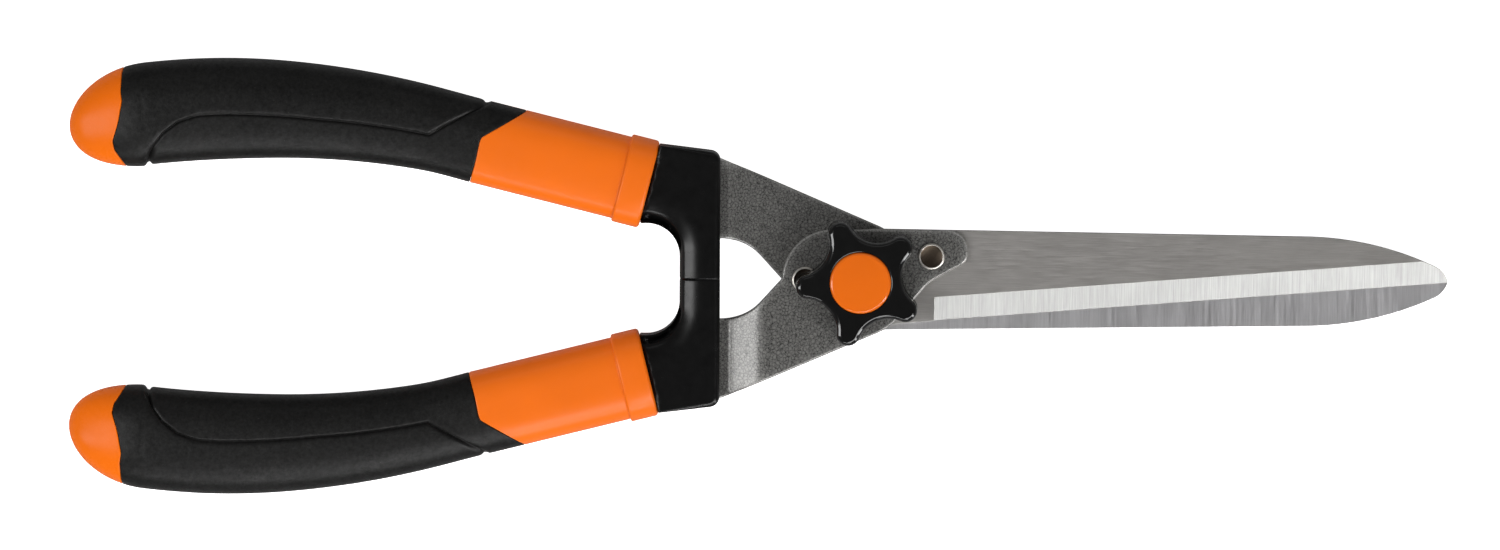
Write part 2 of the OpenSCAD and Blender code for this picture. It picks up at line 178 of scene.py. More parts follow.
def inset(outline, d):
    """The outline drawn in by d, or out where d is negative."""
    before = outline - np.roll(outline, 1, axis=0)
    after = np.roll(outline, -1, axis=0) - outline
    inwards = [np.stack([-side[:, 1], side[:, 0]], 1) for side in (before, after)]
    normals = [n / np.linalg.norm(n, axis=1)[:, None] for n in inwards]
    mean = normals[0] + normals[1]
    mean /= np.linalg.norm(mean, axis=1)[:, None]
    reach = 1 / np.maximum(0.5, np.sum(mean * normals[0], axis=1))
    return outline + mean * (d * reach)[:, None]


def edge_distance(points, outline):
    """Each point's distance to the outline."""
    a, b = outline, np.roll(outline, -1, axis=0)
    e = b - a
    best = np.full(len(points), 1e9)
    for start, along in zip(a, e):
        t = np.clip((points - start) @ along / (along @ along), 0, 1)
        best = np.minimum(best, np.linalg.norm(points - start - t[:, None] * along, axis=1))
    return best


def inside(points, outline):
    """Whether each point lies inside the outline."""
    a, b = outline, np.roll(outline, -1, axis=0)
    odd = np.zeros(len(points), bool)
    for p, q in zip(a, b):
        if p[1] == q[1]:
            continue
        spans = (points[:, 1] < p[1]) != (points[:, 1] < q[1])
        x = p[0] + (points[:, 1] - p[1]) * (q[0] - p[0]) / (q[1] - p[1])
        odd ^= spans & (points[:, 0] < x)
    return odd


def smooth_step(low, high, x):
    """0 below low, 1 above high, and a smooth rise between them."""
    t = min(1.0, max(0.0, (x - low) / (high - low)))
    return t * t * (3 - 2 * t)


def eased(x, corner, reach):
    """max(0, x - corner), rounded over reach on both sides of the corner."""
    if abs(x - corner) < reach:
        return (x - corner + reach) ** 2 / (4 * reach)
    return max(0.0, x - corner)


# ---- Solids, each as (points, faces) ----


def resampled(outline, step):
    """The outline with points added so that no side is longer than step."""
    points = []
    for p, q in zip(outline, np.roll(outline, -1, axis=0)):
        count = max(1, math.ceil(np.linalg.norm(q - p) / step))
        points += [p + (q - p) * k / count for k in range(count)]
    return np.array(points)


def moulded(outline, half_t, depth, rows, spacing, lines=(), bore=0.0):
    """A closed slab of an outline, its faces depth(points) below half_t, with a round hole about the pivot.
    The faces carry rows of points at set distances from the rim, a grid, and the x values in lines."""
    rim = resampled(anticlockwise(outline), spacing * 0.6)
    low, high = rim.min(0), rim.max(0)
    near = [inset(rim, d) for d in rows]
    near = [p[edge_distance(p, rim) > d * 0.97] for p, d in zip(near, rows)]
    xs = np.arange(low[0], high[0], spacing)
    ys = np.arange(low[1], high[1], spacing)
    far = [(x + (j % 2) * spacing / 2, y) for j, y in enumerate(ys) for x in xs]
    far = [p for p in far if all(abs(p[0] - x) > spacing / 3 for x in lines)]
    far += [(x, y) for x in lines for y in np.arange(low[1], high[1], spacing / 2)]
    far = np.array(far)
    far = far[edge_distance(far, rim) > rows[-1] + spacing * 0.4]
    loose = np.vstack(near + [far])
    loose = loose[inside(loose, rim) & (np.hypot(*loose.T) > bore + spacing / 3)]
    hole = np.array(arc(0, 0, bore, 0, 360, 48)[1:]) if bore else np.empty((0, 2))
    every = np.vstack([rim, hole, loose])
    n, m = len(rim), len(hole)
    edges = [(i, (i + 1) % n) for i in range(n)] + [(n + i, n + (i + 1) % m) for i in range(m)]
    flat, _, triangles, _, _, _ = delaunay_2d_cdt([Vector(p) for p in every], edges, [], 1, 1e-5)
    flat = np.array([(p.x, p.y) for p in flat])
    triangles = [t for t in triangles if np.hypot(*flat[list(t)].mean(axis=0)) > bore]
    fall = depth(flat)
    count = len(flat)
    points = [(x, y, half_t - z) for (x, y), z in zip(flat, fall)]
    points += [(x, y, z - half_t) for (x, y), z in zip(flat, fall)]
    faces = [tuple(t) for t in triangles] + [tuple(count + i for i in reversed(t)) for t in triangles]
    sides = {(a, b) for t in triangles for a, b in zip(t, t[1:] + t[:1])}
    faces += [(b, a, count + a, count + b) for a, b in sorted(sides) if (b, a) not in sides]
    return points, faces


def rim_rows(r, steps=6):
    """Distances from the rim at which an edge rounding of radius r carries its rows."""
    return [r * (1 - math.cos(math.pi / 2 * k / steps)) for k in range(1, steps)] + [r]


def round_over(distance, r):
    """How far a face lies down at a distance from the rim where its edge is rounded with radius r."""
    t = np.clip(1 - distance / r, 0, 1)
    return r * (1 - np.sqrt(1 - t * t))


def revolved(profile, cx=0.0, cy=0.0, steps=96, loop=False):
    """A profile of (radius, z) turned round a vertical axis. A loop profile closes on itself."""
    points, rows, faces = [], [], []
    for r, z in profile:
        angles = [0.0] if r < 1e-6 else [math.tau * k / steps for k in range(steps)]
        rows.append([len(points) + k for k in range(len(angles))])
        points += [(cx + r * math.cos(t), cy + r * math.sin(t), z) for t in angles]
    for low, high in zip(rows, rows[1:] + rows[:1] if loop else rows[1:]):
        for k in range(steps):
            m = (k + 1) % steps
            corners = [low[k % len(low)], low[m % len(low)], high[m % len(high)], high[k % len(high)]]
            corners = [c for i, c in enumerate(corners) if c != corners[i - 1]]
            if len(corners) > 2:
                faces.append(tuple(corners))
    return points, faces


def tube(rings, loop=False):
    """A closed skin through rings of equally many points. Fans cover its ends, or a loop joins them."""
    count = len(rings[0])
    points = [p for ring in rings for p in ring]
    faces = []
    for i in range(len(rings) - (0 if loop else 1)):
        low, high = i * count, (i + 1) % len(rings) * count
        for j in range(count):
            k = (j + 1) % count
            faces.append((low + j, low + k, high + k, high + j))
    for first in () if loop else (0, (len(rings) - 1) * count):
        middle = np.mean(points[first : first + count], axis=0)
        points.append(tuple(middle))
        faces += [(first + j, first + (j + 1) % count, len(points) - 1) for j in range(count)]
    return points, faces


def joined(*solids):
    """Several solids as one."""
    points, faces = [], []
    for p, f in solids:
        faces += [tuple(i + len(points) for i in face) for face in f]
        points += p
    return points, faces


def quarter(r0, z0, dr, dz, steps=6):
    """A quarter round of a profile, from (r0, z0) towards dz first and then towards dr."""
    angles = [math.pi / 2 * k / steps for k in range(steps + 1)]
    return [(r0 + dr * (1 - math.cos(a)), z0 + dz * math.sin(a)) for a in angles]


# ---- From solids to pieces ----


def to_frame(point, turned):
    """A point of the front half in the frame, or of the rear half where turned is true."""
    side = -1 if turned else 1
    return Vector((point[0] * MM, side * point[1] * MM, side * point[2] * MM + MEET))


def new_mesh(name, points, faces):
    """A mesh whose faces all look outwards."""
    mesh = bpy.data.meshes.new(name)
    mesh.from_pydata([tuple(p) for p in points], [], faces)
    work = bmesh.new()
    work.from_mesh(mesh)
    bmesh.ops.recalc_face_normals(work, faces=work.faces)
    work.to_mesh(mesh)
    work.free()
    return mesh


def place(mesh, name, body, node, materials, sharp=None, second=()):
    """Makes a piece of a mesh that is already in the frame. Faces in second take the second material."""
    mesh.polygons.foreach_set("use_smooth", [True] * len(mesh.polygons))
    if sharp:
        mesh.set_sharp_from_angle(angle=math.radians(sharp))
    if not mesh.materials:
        for m in materials:
            mesh.materials.append(m)
        for face in second:
            mesh.polygons[face].material_index = 1
    piece = bpy.data.objects.new(name, mesh)
    bpy.context.scene.collection.objects.link(piece)
    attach(piece, body)
    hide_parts(node)
    return piece


def both_halves(solid, part, materials, sharp=None, second=()):
    """The same solid as a piece of the front half and, turned over, of the rear half."""
    points, faces = solid
    for side, turned in (("front", False), ("rear", True)):
        moved = [to_frame(p, turned) for p in points]
        mesh = new_mesh(f"{side}_{part}", moved, faces)
        place(mesh, f"{side}_{part}_look", f"{side}_half", f"{side}_{part}", materials, sharp, second)


def single(solid, node, body, material, sharp=None):
    """A solid as the one piece that replaces a node."""
    points, faces = solid
    mesh = new_mesh(node, [to_frame(p, False) for p in points], faces)
    return place(mesh, f"{node}_look", body, node, [material], sharp)


# ---- Materials ----


class Finish:
    """A node material in the making. Its patterns use the piece's own coordinates, in millimetres."""

    def __init__(self, name):
        self.material = bpy.data.materials.new(name)
        self.material.use_nodes = True
        self.tree = self.material.node_tree
        self.shader = self.tree.nodes["Principled BSDF"]
        self.where = self.tree.nodes.new("ShaderNodeTexCoord").outputs["Object"]

    def node(self, kind, **settings):
        made = self.tree.nodes.new(kind)
        for key, value in settings.items():
            setattr(made, key, value)
        return made

    def wire(self, source, target):
        self.tree.links.new(source, target)

    def stretched(self, per_mm, turn=0.0):
        """Coordinates scaled so that one unit is 1 / per_mm millimetres along each axis."""
        mapping = self.node("ShaderNodeMapping")
        mapping.inputs["Rotation"].default_value = (0, 0, math.radians(turn))
        mapping.inputs["Scale"].default_value = [k / MM for k in per_mm]
        self.wire(self.where, mapping.inputs["Vector"])
        return mapping.outputs["Vector"]

    def noise(self, per_mm, detail=2.0, roughness=0.5, turn=0.0):
        texture = self.node("ShaderNodeTexNoise")
        texture.inputs["Scale"].default_value = 1.0
        texture.inputs["Detail"].default_value = detail
        texture.inputs["Roughness"].default_value = roughness
        scale = per_mm if isinstance(per_mm, tuple) else (per_mm,) * 3
        self.wire(self.stretched(scale, turn), texture.inputs["Vector"])
        return texture.outputs["Fac"]

    def cells(self, per_mm, feature="F1"):
        texture = self.node("ShaderNodeTexVoronoi", feature=feature)
        texture.inputs["Scale"].default_value = 1.0
        self.wire(self.stretched((per_mm,) * 3), texture.inputs["Vector"])
        return texture.outputs["Distance"]

    def ramp(self, source, *stops):
        """Maps a value to colours or greys given as (position, colour)."""
        ramp = self.node("ShaderNodeValToRGB")
        elements = ramp.color_ramp.elements
        while len(elements) < len(stops):
            elements.new(0.5)
        for element, (position, colour) in zip(elements, stops):
            element.position = position
            element.color = (*colour, 1) if isinstance(colour, tuple) else (colour, colour, colour, 1)
        self.wire(source, ramp.inputs["Fac"])
        return ramp.outputs["Color"]

    def maths(self, operation, a, b):
        """Joins two values, each given as a number or as a socket."""
        made = self.node("ShaderNodeMath", operation=operation)
        for value, socket in zip((a, b), made.inputs):
            if isinstance(value, (int, float)):
                socket.default_value = value
            else:
                self.wire(value, socket)
        return made.outputs[0]

    def mixed(self, share, a, b, blend_type="MIX"):
        """Blends colour b over colour a, each given as a colour or as a socket."""
        made = self.node("ShaderNodeMix", data_type="RGBA", blend_type=blend_type)
        for value, socket in zip((share, a, b), (made.inputs[0], made.inputs[6], made.inputs[7])):
            if isinstance(value, tuple):
                socket.default_value = (*value, 1)
            elif isinstance(value, (int, float)):
                socket.default_value = value
            else:
                self.wire(value, socket)
        return made.outputs[2]

    def set(self, **inputs):
        """Sets the shader's inputs, named with underscores for spaces, to numbers, colours or sockets."""
        for name, value in inputs.items():
            socket = self.shader.inputs[name.replace("_", " ")]
            if isinstance(value, tuple):
                socket.default_value = (*value, 1)
            elif isinstance(value, (int, float)):
                socket.default_value = value
            else:
                self.wire(value, socket)

    def bump(self, height, depth_mm, strength=1.0):
        """Adds relief over whatever relief the material has so far."""
        made = self.node("ShaderNodeBump")
        made.inputs["Strength"].default_value = strength
        made.inputs["Distance"].default_value = depth_mm * MM
        self.wire(height, made.inputs["Height"])
        previous = self.shader.inputs["Normal"]
        if previous.is_linked:
            self.wire(previous.links[0].from_socket, made.inputs["Normal"])
        self.wire(made.outputs["Normal"], previous)


def orange_plastic(name, light, roughness, shine):
    """Moulded orange plastic with faint clouds and a slightly wavy skin."""
    f = Finish(name)
    clouds = f.noise(0.03, detail=3)
    hue = (1.0, 0.182, 0.005)
    full = tuple(light * c for c in hue)
    dull = tuple(0.93 * light * c for c in hue)
    f.set(Base_Color=f.ramp(clouds, (0.3, dull), (0.7, full)))
    f.set(Roughness=f.ramp(f.noise(0.4, detail=4), (0.3, roughness), (0.7, roughness + 0.08)))
    f.set(Specular_IOR_Level=shine)
    f.bump(f.noise(1.2, detail=2), 0.006)
    f.bump(f.noise(0.10, detail=1), 0.08, 0.5)
    return f.material


def grip_rubber():
    """Soft black rubber with a fine grain and a few grains of dust."""
    f = Finish("grip_rubber")
    worn = f.noise(0.05, detail=4)
    fine = f.noise(0.9, detail=5, roughness=0.75)
    dust = f.ramp(f.cells(0.35), (0.0, 1.0), (0.07, 0.0))
    shade = f.ramp(worn, (0.3, (0.0026, 0.0026, 0.0024)), (0.7, (0.0050, 0.0049, 0.0046)))
    shade = f.mixed(1.0, shade, f.ramp(fine, (0.3, 0.6), (0.7, 1.5)), "MULTIPLY")
    f.set(Base_Color=f.mixed(f.maths("MULTIPLY", dust, 0.25), shade, (0.16, 0.155, 0.14)))
    f.set(Roughness=f.ramp(fine, (0.3, 0.32), (0.7, 0.52)))
    f.set(Specular_IOR_Level=f.ramp(f.noise(0.5, detail=5, roughness=0.8), (0.35, 0.20), (0.65, 0.34)))
    f.bump(fine, 0.07)
    f.bump(f.cells(2.2), 0.02, 0.6)
    return f.material


def gloss_black(name, roughness, shine):
    """Black moulded plastic with faint rubbing marks."""
    f = Finish(name)
    f.set(Base_Color=f.ramp(f.noise(0.2, detail=5), (0.3, 0.0016), (0.7, 0.0030)))
    rub = f.noise(0.35, detail=5)
    f.set(Roughness=f.ramp(rub, (0.3, roughness), (0.75, roughness + 0.05)))
    f.set(Specular_IOR_Level=shine)
    f.bump(f.noise(0.7, detail=2), 0.006)
    f.bump(f.noise(0.12, detail=1), 0.08, 0.5)
    return f.material


def hammered_paint():
    """Grey hammer finish: dark veins round small bright islands, pale along the edges: partly rubbed paint,
    partly a painted highlight.
    """
    f = Finish("hammered_paint")
    veins = f.cells(0.8, "DISTANCE_TO_EDGE")
    blur = f.noise(1.9, detail=4, roughness=0.65)
    pattern = f.maths("ADD", veins, f.maths("MULTIPLY", blur, 0.6))
    speck = f.ramp(pattern, (0.27, (0.028, 0.0275, 0.026)), (0.40, (0.136, 0.134, 0.127)),
                   (0.75, (0.208, 0.204, 0.194)))
    broad = f.ramp(f.noise(0.04, detail=2), (0.3, 0.85), (0.7, 1.0))
    # Convex edges, found by pointiness, are mixed towards a pale grey: partly rubbed paint, partly a
    # painted highlight along the edges.
    edges = f.ramp(f.node("ShaderNodeNewGeometry").outputs["Pointiness"], (0.505, 0.0), (0.54, 1.0))
    worn = f.maths("MULTIPLY", edges, blur)
    paint = f.mixed(1.0, speck, broad, "MULTIPLY")
    f.set(Base_Color=f.mixed(worn, paint, (0.8, 0.79, 0.76)))
    f.set(Metallic=0.35, Roughness=f.ramp(blur, (0.3, 0.24), (0.7, 0.36)))
    f.set(Coat_Weight=0.4, Coat_Roughness=0.2)
    f.bump(pattern, 0.05, 0.8)
    return f.material


def blade_steel(name, dark, light, streak, across=0.0, roughness=0.30):
    """Steel with grinding lines along the blade, or across it where streak says so."""
    f = Finish(name)
    lines = f.noise(streak, detail=5, roughness=0.7, turn=across)
    cloud = f.noise(0.06, detail=3)
    tone = f.ramp(lines, (0.35, dark), (0.65, light))
    f.set(Base_Color=f.mixed(1.0, tone, f.ramp(cloud, (0.3, 0.92), (0.7, 1.0)), "MULTIPLY"))
    f.set(Metallic=1.0, Roughness=f.ramp(lines, (0.3, roughness), (0.7, roughness + 0.12)))
    f.bump(lines, 0.012)
    return f.material


def bright_steel(name, colour, roughness):
    """Plain or plated steel with small scuffs."""
    f = Finish(name)
    scuffs = f.noise((1.2, 1.2, 4.0), detail=5)
    f.set(Base_Color=f.ramp(scuffs, (0.25, tuple(0.82 * c for c in colour)), (0.7, colour)))
    f.set(Metallic=1.0, Roughness=f.ramp(scuffs, (0.3, roughness), (0.7, roughness + 0.12)))
    f.bump(scuffs, 0.01)
    return f.material


# ---- Blades ----


def blade_outline():
    """A straight back that falls a little, a long curve and a small one at the tip, and a round heel."""
    fall, tip_from, tip_to, nose_r, tip_r = 0.77, 24.9, 78, 122.0, 9.0
    back = Vector((TIP_X - 54.7, 17.4))
    slope, turn, lean = math.radians(fall), math.radians(tip_from), math.radians(EDGE_ANGLE)
    nose = back - nose_r * Vector((math.sin(slope), math.cos(slope)))
    tip = nose + (nose_r - tip_r) * Vector((math.sin(turn), math.cos(turn)))
    shoulder = HEEL_X + HEEL_R
    heel_r = (EDGE_FOOT[0] - HEEL_X) * math.sin(lean) - EDGE_FOOT[1] * math.cos(lean)
    return (
        [(shoulder, back.y + (back.x - shoulder) * math.tan(slope))]
        + arc(nose.x, nose.y, nose_r, 90 - fall, 90 - tip_from, 24)
        + arc(tip.x, tip.y, tip_r, 90 - tip_from, 90 - tip_to, 14)
        + arc(HEEL_X, 0, heel_r, 270 + EDGE_ANGLE, 90, 48)
    )


def prism(outline, low, high):
    """The outline as a straight-sided plate."""
    outline = anticlockwise(outline)
    n = len(outline)
    points = [(x, y, z) for z in (low, high) for x, y in outline]
    sides = [(i, (i + 1) % n, n + (i + 1) % n, n + i) for i in range(n)]
    return points, sides + [tuple(reversed(range(n))), tuple(range(n, 2 * n))]


def ground_wedge():
    """What the grinder takes off the blade's outer face along its edge."""
    lean, spare, clear = math.radians(EDGE_ANGLE), 4, 9
    along, inwards = Vector((math.cos(lean), math.sin(lean))), Vector((-math.sin(lean), math.cos(lean)))
    rise = (BLADE_TOP - BLADE_LOW - EDGE_T) / BEVEL_W
    wide = (-spare, BEVEL_W + spare)
    section = [(v, BLADE_LOW + EDGE_T + v * rise) for v in wide] + [(v, clear) for v in wide[::-1]]
    points = []
    for end in (EDGE_FOOT[0], TIP_X + 10):
        for v, z in section:
            start = Vector(EDGE_FOOT) + inwards * v
            p = start + along * ((end - start.x) / along.x)
            points.append((p.x, p.y, z))
    sides = [(i, (i + 1) % 4, 4 + (i + 1) % 4, 4 + i) for i in range(4)]
    return points, sides + [(3, 2, 1, 0), (4, 5, 6, 7)]


def blade_cuts():
    """The ground wedge together with the drill for the pivot's hole."""
    low, high = BLADE_LOW - 1, BLADE_TOP + 1
    return joined(ground_wedge(), revolved([(0, low), (HOLE_R, low), (HOLE_R, high), (0, high)], steps=48))


def add_blades(outer, mating, ground):
    """The ground bevel is cut with its own material, so that the grinding lines stop at its edge."""
    solids = {"plate": prism(blade_outline(), BLADE_LOW, BLADE_TOP), "cuts": blade_cuts()}
    sharp, flat, worn, worn_from = 10, 0.9, 0.12, 40
    for side, turned in (("front", False), ("rear", True)):
        parts = []
        for label, (points, faces) in solids.items():
            mesh = new_mesh(label, [to_frame(p, turned) for p in points], faces)
            parts.append(bpy.data.objects.new(label, mesh))
            bpy.context.scene.collection.objects.link(parts[-1])
        plate, cuts = parts
        for m in (outer, mating):
            plate.data.materials.append(m)
        cuts.data.materials.append(ground)
        meeting = 1 if turned else -1
        for polygon in plate.data.polygons:
            polygon.material_index = 1 if polygon.normal.z * meeting > flat else 0
        cut = plate.modifiers.new("ground", "BOOLEAN")
        cut.operation, cut.object, cut.solver, cut.material_mode = "DIFFERENCE", cuts, "EXACT", "TRANSFER"
        graph = bpy.context.evaluated_depsgraph_get()
        mesh = bpy.data.meshes.new_from_object(plate.evaluated_get(graph))
        for part in parts:
            bpy.data.objects.remove(part)
        piece = place(mesh, f"{side}_blade_look", f"{side}_half", f"{side}_blade", [], sharp)
        soften = piece.modifiers.new("worn_edges", "BEVEL")
        soften.width, soften.segments, soften.limit_method = worn * MM, 2, "ANGLE"
        soften.angle_limit, soften.harden_normals = math.radians(worn_from), True


# ---- Arms ----


def arm_lift(x):
    """How far the arm's mid plane stands off the handle's axis: the joggle between its two bends."""
    head = (BLADE_TOP + ARM_TOP) / 2
    slope = head / (SOFT_BEND - SHARP_BEND)
    return slope * (eased(x, SHARP_BEND, SHARP_REACH) - eased(x, SOFT_BEND, SOFT_REACH))


def arm_outline():
    """Corners as (x, y, radius): the lower side and the head, the heel, the opening's side, and the tang.
    The tang's corners are (s, v, radius) on the handle's axis."""
    tang = [(-16, -9, 1), (70, -9, 2), (70, 9, 2), (-16, 9, 1)]
    head = [(-55, -46.2, 1), (-54.1, -46.6, 0), (11.4, -18.5, 21), (26.5, -0.8, 15), (41.5, 7.4, 5),
            (41.5, HEEL_R, 8)]
    heel = [(x, y, 0) for x, y in arc(HEEL_X, 0, HEEL_R, 90, 177, 40)]
    inner = [(-30.6, 0, 0.6), (-44.7, -15.5, 20.9), (-60, -15.5, 1)]
    return rounded(head + heel + inner + [(*on_axis(s, v), r) for s, v, r in tang], 14)


def arm():
    """The plate with rounded edges, bent at its joggle. Extra rows of points lie where it bends."""
    bends = [SHARP_BEND + SHARP_REACH * k / 2 for k in range(-2, 3)]
    bends += [SOFT_BEND + SOFT_REACH * k / 4 for k in range(-4, 5)]
    outline, r = arm_outline(), 0.8
    rim = anticlockwise(outline)

    def depth(points):
        return round_over(edge_distance(points, rim), r)

    points, faces = moulded(outline, PLATE / 2, depth, rim_rows(r), 2.5, bends, HOLE_R)
    return [(x, y, z + arm_lift(x)) for x, y, z in points], faces


# ---- Handles: s runs along the axis from the open end to the butt, v across it, outwards ----


def heading(s):
    """Angle of the handle's axis at s, in radians."""
    return HANDLE_ANGLE - max(0.0, s - STRAIGHT) / BEND_R


def axis_point(s):
    a = heading(s)
    straight = HANDLE_START - min(s, STRAIGHT) * Vector((math.cos(HANDLE_ANGLE), math.sin(HANDLE_ANGLE)))
    curve = Vector((math.sin(a) - math.sin(HANDLE_ANGLE), math.cos(HANDLE_ANGLE) - math.cos(a)))
    return straight + BEND_R * curve


def on_axis(s, v):
    """x and y of a place given by s and v."""
    p = axis_point(s) + v * Vector((math.sin(heading(s)), -math.cos(heading(s))))
    return p.x, p.y


def signed_power(x, p):
    """The size of x to the power p, with the sign of x."""
    return math.copysign(abs(x) ** p, x)


def section(s):
    """Middle, half width and half thickness of the handle at s."""
    swell = (eased(s, STRAIGHT, SWELL_IN) - eased(s, FULLEST, SWELL_OUT)) / (FULLEST - STRAIGHT)
    reach = max(0.0, s - NOSE_START) / NOSE_L
    close = math.sqrt(max(0.0, 1 - reach * reach))
    w = COLLAR_W + (SWELL_W - COLLAR_W) * swell
    t = COLLAR_T + (SWELL_T - COLLAR_T) * swell
    return -SKIN_SHIFT * swell - NOSE_LEAN * reach * reach, w * close, t * close


def across(s, turn):
    """v of the skin's point at angle turn round the section, where 0 is the outer side."""
    middle, w, _ = section(s)
    return middle + w * signed_power(math.cos(turn), 2 / SQUARENESS)


def skin_point(s, turn, depth=0.0):
    """The skin's point at s and at angle turn round the section, or a point at some depth below it."""
    middle, w, t = section(s)
    v = middle + max(0.0, w - depth) * signed_power(math.cos(turn), 2 / SQUARENESS)
    z = max(0.0, t - depth) * signed_power(math.sin(turn), 2 / SQUARENESS)
    return (*on_axis(s, v), z)


# The lines where core meets grip and grip meets end cap, as (v, s)
COLLAR_LINE = ((-26, 68), (-7.6, 67.5), (2, 67.9), (15.4, 54), (26, 44))
BUTT_LINE = ((-26, 204.5), (-19, 208.2), (-12.1, 211.6), (-8.5, 211.8), (-2.2, 208.7), (6.5, 205.9),
             (10.5, 205.9), (17.3, 204.6), (26, 201))
# The step between palm pad and finger panel, as (s, v)
PANEL_LINE = ((68.8, 20), (69.2, 15.8), (70.5, 14.4), (82.8, 3.1), (87.5, -1.5), (130.6, -2.3),
              (167.8, -1.4), (177.7, -1.6), (185.3, -3.6), (192, -8), (196.3, -12.9), (199, -18.3),
              (199.5, -24))


def read_line(line, x):
    """The second value of a line of pairs where the first is x."""
    return float(np.interp(x, [p[0] for p in line], [p[1] for p in line]))


def line_at(line, turn):
    """s where a line of (v, s) crosses the skin at angle turn, closed in on by halves."""
    s = read_line(line, across(100.0, turn))
    for _ in range(12):
        s = (s + read_line(line, across(s, turn))) / 2
    return s


def panel_distance(s, v):
    """Distance to the step between palm pad and finger panel, negative on the pad."""
    here = np.array((s, v))
    line = np.array(PANEL_LINE, float)
    starts, along = line[:-1], line[1:] - line[:-1]
    share = np.clip(np.sum((here - starts) * along, 1) / np.sum(along * along, 1), 0, 1)
    gap = float(np.min(np.linalg.norm(starts + share[:, None] * along - here, axis=1)))
    on_pad = s > line[-1][0] or (s > line[0][0] and v > read_line(PANEL_LINE, s))
    return -gap if on_pad else gap


def grip_depth(s, v):
    """How far the grip's face lies below the full skin: the finger panel, and the groove along its edge.
    The groove is softer on the pad's side, and deeper and wider where it runs over the grip's two sides.
    The panel's step fades in from the collar's end."""
    x, step, groove = panel_distance(s, v), 0.25, 0.3
    outer, inner = smooth_step(10, 15, v), smooth_step(12, 17, -v) * smooth_step(186, 196, s)
    deep = 0.75 + 0.35 * outer + 0.8 * inner
    wide = (0.7 if x < groove else 0.36) + 0.4 * outer + 0.5 * inner
    panel = PANEL_STEP * smooth_step(64, 92, s)
    return panel * smooth_step(-step, step, x) + deep * math.exp(-(((x - groove) / wide) ** 2))


# Sections have their points closer together towards their two sides, by this power
CROWDING = 1.35


def even_turns(count):
    """Angles round a section, closer together where its sides turn."""
    quarter_turn = [math.pi / 2 * (k / count) ** CROWDING for k in range(count)]
    half = quarter_turn + [math.pi - t for t in [math.pi / 2] + quarter_turn[:0:-1]]
    return half + [math.pi + t for t in half]


# How a skin's end is rounded over: (distance from the end, depth), from the depth at which it closes
LIP = ((0.0, 2.0), (0.0, 0.4), (0.1, 0.12), (0.38, 0.0))


def lip_rows(edge, inwards):
    """The lip as (s, depth) for a skin that runs from s = edge towards inwards, 1 or -1."""
    return [(edge + away * inwards, depth) for away, depth in LIP]


def core():
    """The orange body, whose open end carries a raised ring with rounded edges."""
    start, end, proud, wall, mouth_r, start_r, end_r = 0.3, 11.3, 1.1, 2.0, 0.5, 1.4, 0.9
    ring = [(7, wall)] + quarter(start, wall - mouth_r, mouth_r, mouth_r, 3)[::-1]
    ring += quarter(start, start_r - proud, start_r, -start_r)
    ring += quarter(end, end_r - proud, -end_r, -end_r)[::-1] + [(end + 0.05, -0.04), (end + 0.3, 0)]
    columns, low, steps = [], 12, 44
    for turn in even_turns(30):
        seam = line_at(COLLAR_LINE, turn) - SEAM
        body = [(low + (seam - 0.5 - low) * k / steps, 0.0) for k in range(steps + 1)]
        columns.append([skin_point(s, turn, d) for s, d in ring + body + lip_rows(seam, -1)[::-1]])
    return tube([list(row) for row in zip(*columns)])


def end_cap():
    """The butt's nose, in even turns of the ellipse that closes it."""
    columns, steps = [], 26
    for turn in even_turns(30):
        start = line_at(BUTT_LINE, turn) + SEAM
        first = math.asin((start + 0.5 - NOSE_START) / NOSE_L)
        nose = [first + (math.pi / 2 - first) * k / steps for k in range(steps)]
        body = [(NOSE_START + NOSE_L * math.sin(a), 0.0) for a in nose]
        columns.append([skin_point(s, turn, d) for s, d in lip_rows(start, 1) + body])
    return tube([list(row) for row in zip(*columns)])


def grip_turns(s):
    """Angles round the grip at s. One column follows the panel's step, with others close beside it."""
    middle, w, _ = section(s)
    side, on_pad, on_panel = 0.93, 22, 26
    v = min(side, max(-side, (read_line(PANEL_LINE, s) - middle) / w))
    if s < PANEL_LINE[0][0]:
        v = side
    step = math.acos(signed_power(v, SQUARENESS / 2))
    beside = [d / w for d in (-1.2, -0.7, -0.4, -0.15, 0.1, 0.3, 0.5, 0.75, 1.1, 1.6)]
    pad = [(step + beside[0]) * (k / on_pad) ** CROWDING for k in range(on_pad)]
    panel_from = step + beside[-1]
    shares = [(1 - k / on_panel) ** CROWDING for k in range(1, on_panel + 1)]
    panel = [math.pi - (math.pi - panel_from) * share for share in shares]
    half = pad + [step + d for d in beside] + panel
    return half + [math.tau - t for t in half[-2:0:-1]]


def grip_point(s, j, depth=0.0):
    turn = grip_turns(s)[j]
    return skin_point(s, turn, depth + grip_depth(s, across(s, turn)))


def grip_seam(line, j, s):
    """s where the grip's column j crosses a line of (v, s), closed in on by halves from a first guess."""
    for _ in range(14):
        s = (s + read_line(line, across(s, grip_turns(s)[j]))) / 2
    return s


def grip():
    """The grip in four stretches of rows, which are closest together where the step curves to the side."""
    marks, rows_each = (78.0, 95.0, 180.0), (25, 29, 62, 33)
    lip_end = 0.45
    columns = []
    for j in range(len(grip_turns(100.0))):
        start = grip_seam(COLLAR_LINE, j, 60.0) + SEAM
        end = grip_seam(BUTT_LINE, j, 205.0) - SEAM
        stops = (start + lip_end, *marks, end - lip_end)
        rows = []
        for low, high, count in zip(stops, stops[1:], rows_each):
            rows += [(low + (high - low) * k / count, 0.0) for k in range(count)]
        rows = lip_rows(start, 1) + rows + [(stops[-1], 0.0)] + lip_rows(end, -1)[::-1]
        columns.append([grip_point(s, j, depth) for s, depth in rows])
    return tube([list(row) for row in zip(*columns)])


# ---- Bolsters, rivets and the pivot's parts ----


# The corner between the bolster's stem and its block, as (y, radius)
CROTCH_Y, CROTCH_R = -22, 12.7


